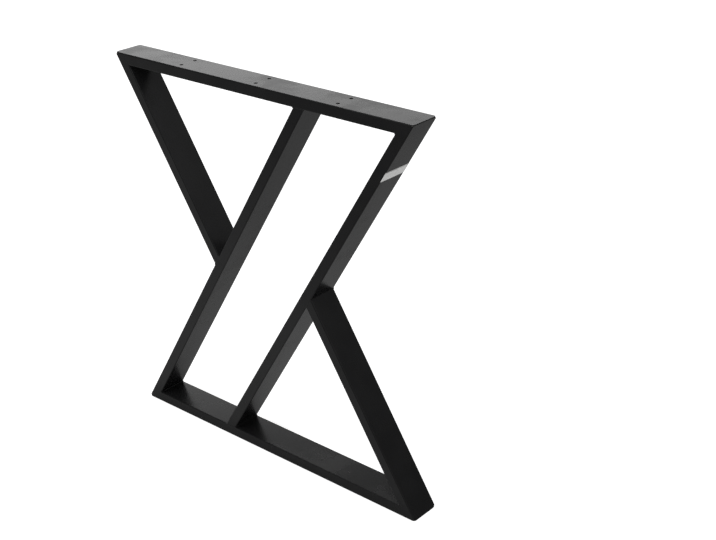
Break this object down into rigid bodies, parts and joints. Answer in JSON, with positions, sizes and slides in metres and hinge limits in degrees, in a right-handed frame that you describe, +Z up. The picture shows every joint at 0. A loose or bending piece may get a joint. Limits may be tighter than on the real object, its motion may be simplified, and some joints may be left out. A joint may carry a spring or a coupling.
{
  "type": "x shaped table leg",
  "caption": "Flat X shaped table leg frame welded from flat steel tube, with screw holes in its top bar for a table top.",
  "frame": {"origin": "middle of the footprint, on the floor", "axes": "+Z up, +X along the top and bottom bars towards the end where the label is, +Y across the depth of the tube towards the back"},
  "size_m": [0.6882, 0.06, 0.72],
  "materials": {
    "powder_coated_steel": "satin black powder coat",
    "label_foil": "satin blank foil label"
  },
  "bodies": {
    "root": {"top_bar": "powder_coated_steel", "bottom_bar": "powder_coated_steel", "short_brace_left": "powder_coated_steel", "short_brace_right": "powder_coated_steel", "long_brace_left": "powder_coated_steel", "long_brace_right": "powder_coated_steel", "weld_top_left": "powder_coated_steel", "weld_bottom_right": "powder_coated_steel", "weld_bottom_left": "powder_coated_steel", "weld_top_right": "powder_coated_steel", "weld_long_head": "powder_coated_steel", "weld_long_foot": "powder_coated_steel", "weld_waist_left": "powder_coated_steel", "weld_waist_right": "powder_coated_steel", "label": "label_foil"}
  },
  "joints": []
}
